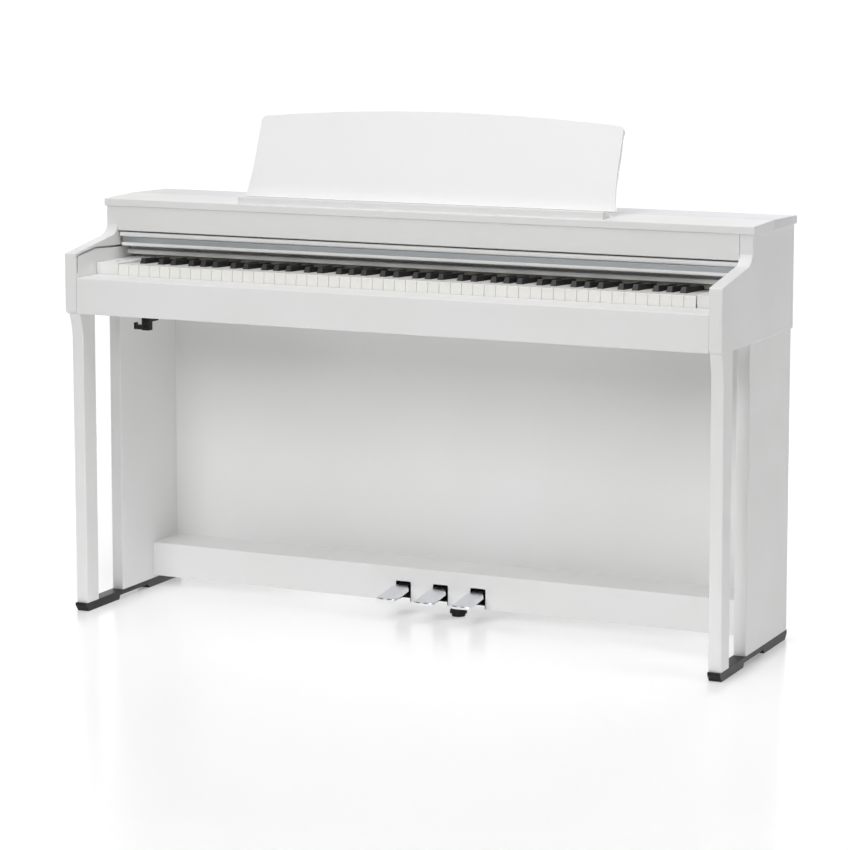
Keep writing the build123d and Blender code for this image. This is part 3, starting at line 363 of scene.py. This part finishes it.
def start_disc(centre, radius, thickness, sides, turn=90):
    """A short cylinder that faces the front and the rear, or up and down when it isn't turned."""
    bpy.ops.object.select_all(action="DESELECT")
    bpy.ops.mesh.primitive_cylinder_add(vertices=sides, radius=radius * MM, depth=thickness * MM, location=centre,
                                        rotation=(math.radians(turn), 0, 0))
    piece = bpy.context.object
    bpy.ops.object.transform_apply(location=False, rotation=True, scale=False)
    return piece


def pick_faces(piece, chosen):
    """In edit mode, selects the faces whose normal passes the test, and nothing else."""
    bpy.ops.object.mode_set(mode="EDIT")
    bpy.ops.mesh.select_mode(type="FACE")
    bpy.ops.mesh.select_all(action="DESELECT")
    bpy.ops.object.mode_set(mode="OBJECT")
    for face in piece.data.polygons:
        face.select = chosen(face.normal)
    bpy.ops.object.mode_set(mode="EDIT")


def bake_in(piece, modifier):
    """Applies a modifier of a piece."""
    bpy.context.view_layer.objects.active = piece
    bpy.ops.object.modifier_apply(modifier=modifier.name)


def soften(piece, width, segments):
    """Rounds every hard edge by this many millimetres."""
    edge = piece.modifiers.new("soft_edges", "BEVEL")
    edge.width = width * MM
    edge.segments = segments
    edge.limit_method = "ANGLE"
    bake_in(piece, edge)


def open_shell(piece, chosen, wall):
    """Deletes the chosen faces and gives the rest a wall, inwards."""
    pick_faces(piece, chosen)
    bpy.ops.mesh.delete(type="FACE")
    bpy.ops.object.mode_set(mode="OBJECT")
    shell = piece.modifiers.new("wall", "SOLIDIFY")
    shell.thickness = wall * MM
    shell.offset = -1.0
    bake_in(piece, shell)


def dome(head, chosen, roundness):
    """Rounds the rim of the chosen end of a screw head."""
    pick_faces(head, chosen)
    bpy.ops.mesh.bevel(offset=roundness * MM, segments=4, affect="EDGES")
    bpy.ops.object.mode_set(mode="OBJECT")


def cut(head, low, high):
    """Cuts one bar of a cross recess out of a screw head."""
    cutter = start_box(low, high)
    recess = head.modifiers.new("recess", "BOOLEAN")
    recess.operation = "DIFFERENCE"
    recess.object = cutter
    bake_in(head, recess)
    bpy.data.objects.remove(cutter)


def merged(parts):
    """Several parts as one object."""
    bpy.ops.object.select_all(action="DESELECT")
    for part in parts:
        part.select_set(True)
    bpy.context.view_layer.objects.active = parts[0]
    bpy.ops.object.join()
    return bpy.context.object


def grip_lip():
    """The rounded white lip along the foot of the silver strip, where fingers lift the key cover."""
    lip = start_box(at(-LIP_HALF, *LIP_LOW), at(LIP_HALF, *LIP_HIGH))
    soften(lip, 2.2, 5)
    keep(lip, "cover_grip_lip", "key_cover", "white_cabinet")


def pedal_slot_liner(name, x):
    """Black moulded liner pushed into a pedal's slot: two sides and a top, running back into the box."""
    liner = start_box(at(x - SLOT_HALF, *SLOT_LOW), at(x + SLOT_HALF, *SLOT_HIGH))
    open_shell(liner, lambda normal: abs(normal.y) > 0.9 or normal.z < -0.9, SLOT_WALL)
    soften(liner, 0.35, 2)
    keep(liner, name, "case_and_stand", "black_plastic")


def jack_ring(name, height, bore, wall):
    """The black moulded nut round a headphone socket."""
    ring = start_disc(at(SOCKET_X, SOCKET_FACE, height), bore + wall, SOCKET_NUT, 40)
    open_shell(ring, lambda normal: abs(normal.y) > 0.9, wall)
    soften(ring, 0.3, 3)
    keep(ring, name, "case_and_stand", "black_plastic")


def board_screws():
    """Pan-head screws that hold the two rear boards: domed heads with a cross recess."""
    radius, rise, roundness = SCREW_HEAD
    shank_radius, shank_length = SCREW_SHANK
    turned = []
    for x, height, face in CASE_SCREWS + PANEL_SCREWS:
        head = start_disc(at(x, face + rise / 2, height), radius, rise, 28)
        dome(head, lambda normal: normal.y > 0.9, roundness)
        for across, along in (SCREW_CROSS, SCREW_CROSS[::-1]):
            cut(head, at(x - across / 2, face + 0.9, height - along / 2),
                at(x + across / 2, face + 3.0, height + along / 2))
        shank = start_disc(at(x, face - 4.4, height), shank_radius, shank_length, 16)
        turned += [head, shank]
    screws = keep(merged(turned), "rear_board_screws", "case_and_stand", "steel")
    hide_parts("rear_screws")


def hinge_screws():
    """Small domed screws that hold the two hinges of the music rest to the top board."""
    radius, rise, roundness = HINGE_HEAD
    heads = []
    for x in HINGE_SCREWS:
        head = start_disc(at(x, HINGE_SCREW_DEPTH, HINGE_SCREW_LEVEL), radius, rise, 28, turn=0)
        dome(head, lambda normal: normal.z > 0.9, roundness)
        for across, along in (HINGE_CROSS, HINGE_CROSS[::-1]):
            cut(head, at(x - across / 2, HINGE_SCREW_DEPTH - along / 2, HINGE_SCREW_LEVEL + 0.3),
                at(x + across / 2, HINGE_SCREW_DEPTH + along / 2, HINGE_SCREW_LEVEL + 2.3))
        heads.append(head)
    keep(merged(heads), "music_rest_hinge_screws", "case_and_stand", "steel")


def speaker_grille(name, x):
    """Black louvred grille under a loudspeaker: a rounded frame with slats across it."""
    foot, top = GRILLE_LEVELS
    half_width, half_depth = GRILLE_OUTER[0] / 2, GRILLE_OUTER[1] / 2
    border = start_box(at(x - half_width, SPEAKER_DEPTH - half_depth, foot),
                       at(x + half_width, SPEAKER_DEPTH + half_depth, top))
    pick_faces(border, lambda normal: abs(normal.z) > 0.9)
    bpy.ops.mesh.inset(thickness=GRILLE_BORDER * MM)
    bpy.ops.mesh.bridge_edge_loops()
    bpy.ops.object.mode_set(mode="OBJECT")
    soften(border, 1.0, 3)
    parts = [border]
    for step in range(SLATS):
        depth = SPEAKER_DEPTH + (step - SLATS // 2) * SLAT_PITCH
        slat = start_box(at(x - SLAT_HALF[0], depth - SLAT_HALF[1], foot + 0.8),
                         at(x + SLAT_HALF[0], depth + SLAT_HALF[1], top - 0.4))
        soften(slat, 0.7, 2)
        parts.append(slat)
    keep(merged(parts), name, "case_and_stand", "black_plastic")


grip_lip()
for liner_name, pedal_x in PEDALS:
    pedal_slot_liner(liner_name, pedal_x)
for ring_name, socket_height, socket_bore, nut_wall in SOCKETS:
    jack_ring(ring_name, socket_height, socket_bore, nut_wall)
board_screws()
hinge_screws()
for grille_name, speaker_x in SPEAKERS:
    speaker_grille(grille_name, speaker_x)

# ---------------------------------------------------------------- floor, light and camera
FLOOR_GLOW = 0.235


def studio_floor():
    """Polished white studio floor with a short faint mirror of whatever stands on it, thinning out to the
    bare white sweep a few metres away."""
    material, tree, shader, place = begin("white_studio_floor")
    drift = add(tree, "TexNoise", {"Vector": place, "Scale": per(900)})
    white = add(tree, "Mix", {0: drift, 6: srgb("#FAFAFA"), 7: srgb("#FDFDFD")}, 2, data_type="RGBA")
    wiped = add(tree, "TexNoise", {"Vector": place, "Scale": per(400)})
    sheen = add(tree, "MapRange", {"Value": wiped, "To Min": 0.16, "To Max": 0.2})
    away = add(tree, "VectorMath", {0: place}, "Value", operation="LENGTH")
    kept = add(tree, "MapRange", {"Value": away, "From Min": 1.3, "From Max": 3.2, "To Min": 1.0, "To Max": 0.0})
    feed(tree, shader, {"Base Color": white, "Roughness": sheen, "Specular IOR Level": 0.2, "Alpha": kept,
                        "Emission Color": srgb("#FFFFFF"), "Emission Strength": FLOOR_GLOW})
    return material


FLOOR_HALF = 3.4
bpy.ops.mesh.primitive_plane_add(size=2 * FLOOR_HALF, location=(0, 0, 0))
floor = bpy.context.object
floor.name = "studio_floor"
floor.data.materials.append(studio_floor())
bpy.ops.object.select_all(action="DESELECT")

world = bpy.data.worlds.new("studio_air")
bpy.context.scene.world = world
world.use_nodes = True
air = world.node_tree
AIR_LIGHT = 0.04            # soft light from all round
AIR_SEEN = 1.05             # the bare white sweep behind
AIR_DIM = 0.12              # the dark end of the room, which only polished parts mirror
AIR_BARS = 0.8              # the tall bright banks standing in it
seen = add(air, "LightPath", {}).node
compass = add(air, "TexCoord", {}, "Generated")
towards = add(air, "SeparateXYZ", {0: compass}, "Y")
room = add(air, "MapRange", {"Value": towards, "From Min": -0.25, "From Max": 0.15, "To Min": AIR_DIM,
                             "To Max": AIR_SEEN})
bars = add(air, "TexWave", {"Vector": compass, "Scale": 2.6, "Distortion": 0.0}, "Fac")
banks = add(air, "MapRange", {"Value": bars, "From Min": 0.45, "From Max": 0.55, "To Max": AIR_BARS})
lit = add(air, "Math", {0: room, 1: banks}, operation="ADD")
glossy = add(air, "Mix", {0: seen.outputs["Is Glossy Ray"], 2: AIR_LIGHT, 3: lit}, data_type="FLOAT")
strength = add(air, "Mix", {0: seen.outputs["Is Camera Ray"], 2: glossy, 3: AIR_SEEN}, data_type="FLOAT")
feed(air, air.nodes["Background"], {"Color": srgb("#FFFFFF"), "Strength": strength})


MIDDLE = Vector((0.0, 0.0, 0.5))


def softbox(name, place, size, watts):
    """A square soft light at a place, turned towards the middle of the piano."""
    lamp = bpy.data.lights.new(name, "AREA")
    lamp.shape = "SQUARE"
    lamp.size = size
    lamp.energy = watts
    holder = bpy.data.objects.new(name, lamp)
    holder.location = place
    holder.rotation_euler = (MIDDLE - Vector(place)).to_track_quat("-Z", "Y").to_euler()
    holder.visible_camera = False
    bpy.context.scene.collection.objects.link(holder)


softbox("overhead_softbox", (0.0, -0.9, 4.4), 3.2, 74)
softbox("front_softbox", (-0.5, -5.6, 3.6), 2.8, 166)
softbox("right_fill", (4.6, -0.6, 2.6), 2.4, 46)
softbox("low_rear_fill", (0.3, 4.6, 0.5), 0.6, 85)

camera = bpy.data.cameras.new("portrait_lens")
camera.sensor_width = 36.0
camera.lens = 126.85
camera.shift_y = -0.1419
viewer = bpy.data.objects.new("viewer", camera)
viewer.location = (2.463, -5.251, 1.371)
viewer.rotation_euler = (math.radians(82.81), 0.0, math.radians(25.09))
bpy.context.scene.collection.objects.link(viewer)
bpy.context.scene.camera = viewer
bpy.context.scene.view_settings.view_transform = "Standard"
